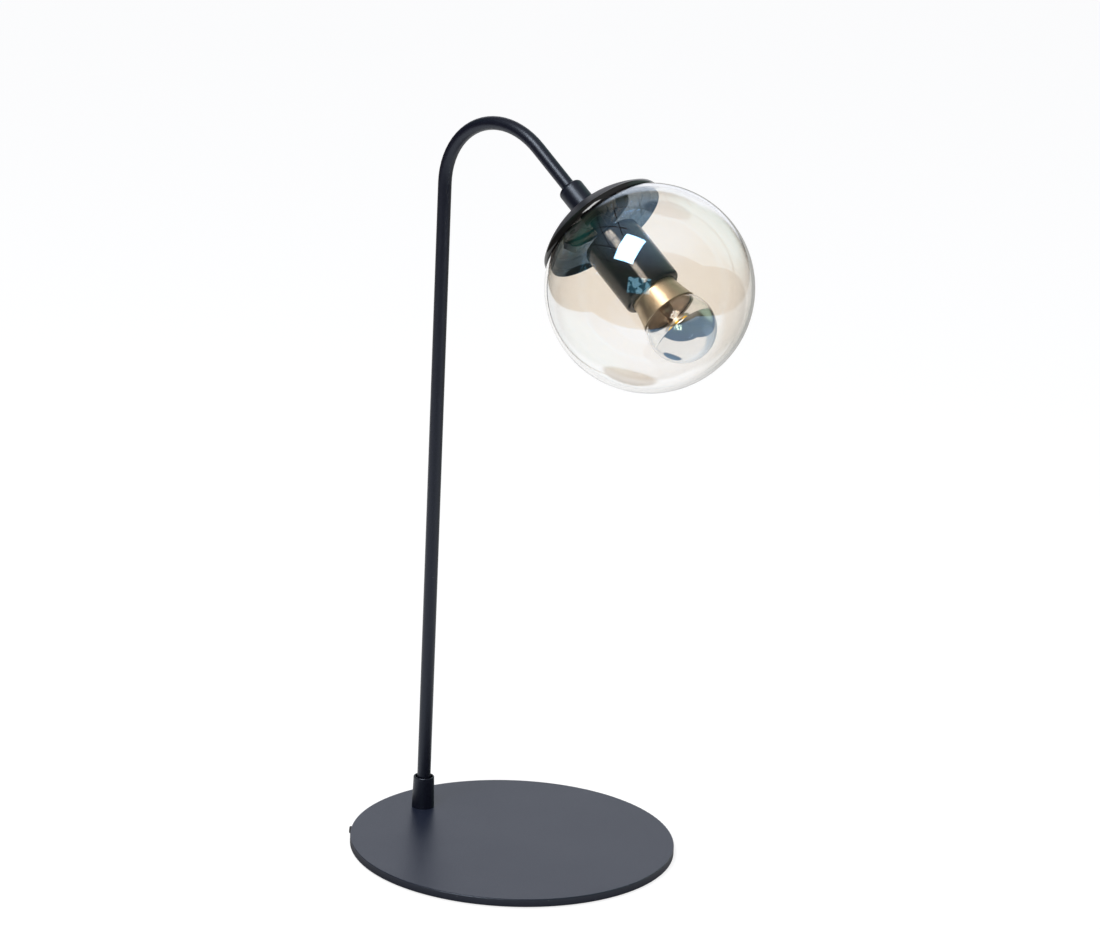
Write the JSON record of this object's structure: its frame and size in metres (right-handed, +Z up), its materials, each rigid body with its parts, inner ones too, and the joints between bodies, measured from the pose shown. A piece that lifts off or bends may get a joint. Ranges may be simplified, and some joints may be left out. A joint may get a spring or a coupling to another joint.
{
  "type": "table lamp",
  "caption": "Table lamp with a round flat base, a cane-shaped tube stem and a tilted clear glass globe hanging from a glossy cap over a mirror-crowned bulb.",
  "frame": {"origin": "centre of the base pad's underside, on the table", "axes": "+Z is up, +X points from the stem's foot over the plate towards the globe, the stem and globe axis lie in the XZ plane"},
  "size_m": [0.3042, 0.24, 0.5535],
  "materials": {
    "powder_coat": "fine-grained satin blue-black powder coat",
    "gloss_black_enamel": "deep gloss black stove enamel",
    "pad_felt": "black non-slip foam sheet",
    "soft_rubber": "matt black rubber",
    "zinc_steel": "zinc plated steel",
    "spring_steel": "blued spring steel strip",
    "black_steel": "black oxide steel",
    "flex_sheath": "dark grey plastic flex sheath",
    "core_insulation": "coloured wire insulation",
    "lustre_glass": "blown glass with a thin semi-reflective amber lustre",
    "holder_plastic": "gloss black moulded plastic",
    "white_ceramic": "unglazed white ceramic",
    "contact_brass": "plain contact brass",
    "nickelled_cap": "thin nickel plated brass",
    "black_glass": "black glassy insulator",
    "solder_tip": "tinned contact",
    "collar_brass": "polished brass",
    "circuit_board": "green circuit board with its parts",
    "post_brass": "satin brass",
    "board_aluminium": "white coated aluminium board",
    "led_phosphor": "yellow phosphor under clear resin",
    "clear_glass": "clear blown glass",
    "crown_mirror": "bright silvered crown"
  },
  "bodies": {
    "lamp": {"base_pad": "pad_felt", "base_plate": "powder_coat", "cord_bush": "soft_rubber", "foot_screws": "zinc_steel", "foot_collar": "powder_coat", "foot_grub": "black_steel", "stem_tube": "powder_coat", "inner_flex": "flex_sheath", "head_collar": "powder_coat", "head_grub": "black_steel", "head_nipple": "black_steel", "head_nuts": "black_steel", "cap_dome": "gloss_black_enamel", "rim_gasket": "soft_rubber", "spacer_sleeve": "black_steel", "spring_spider": "black_steel", "globe_springs": "spring_steel", "spring_rivets": "black_steel", "holder_cap": "holder_plastic", "holder_skirt": "holder_plastic", "holder_core": "white_ceramic", "thread_shell": "contact_brass", "centre_contact": "contact_brass", "holder_terminals": "contact_brass", "terminal_screws": "zinc_steel", "flex_cores": "core_insulation"},
    "globe": {"glass_globe": "lustre_glass"},
    "bulb_carriage": {"bulb_tip": "solder_tip", "bulb_insulator": "black_glass"},
    "bulb": {"bulb_screw_cap": "nickelled_cap", "bulb_collar": "collar_brass", "bulb_driver": "circuit_board", "bulb_reflector": "collar_brass", "led_post": "post_brass", "led_board": "board_aluminium", "led_chips": "led_phosphor", "bulb_envelope": "clear_glass", "bulb_mirror": "crown_mirror"}
  },
  "joints": [
    {"name": "globe_pull", "type": "slide", "parent": "lamp", "child": "globe", "axis": [0.8131, 0, -0.5821], "range_m": [0, 0.15], "deforming": ["globe_springs"]},
    {"name": "bulb_travel", "type": "slide", "parent": "lamp", "child": "bulb_carriage", "axis": [0.8131, 0, -0.5821], "range_m": [0, 0.0082]},
    {"name": "bulb_turn", "type": "hinge", "parent": "bulb_carriage", "child": "bulb", "pos_m": [0.10918, 0, 0.45887], "axis": [0.8131, 0, -0.5821], "range_deg": [0, 810]}
  ],
  "couplings": [
    {"joint": "bulb_travel", "follows": "bulb_turn", "m_per_rad": 0.00057757}
  ]
}
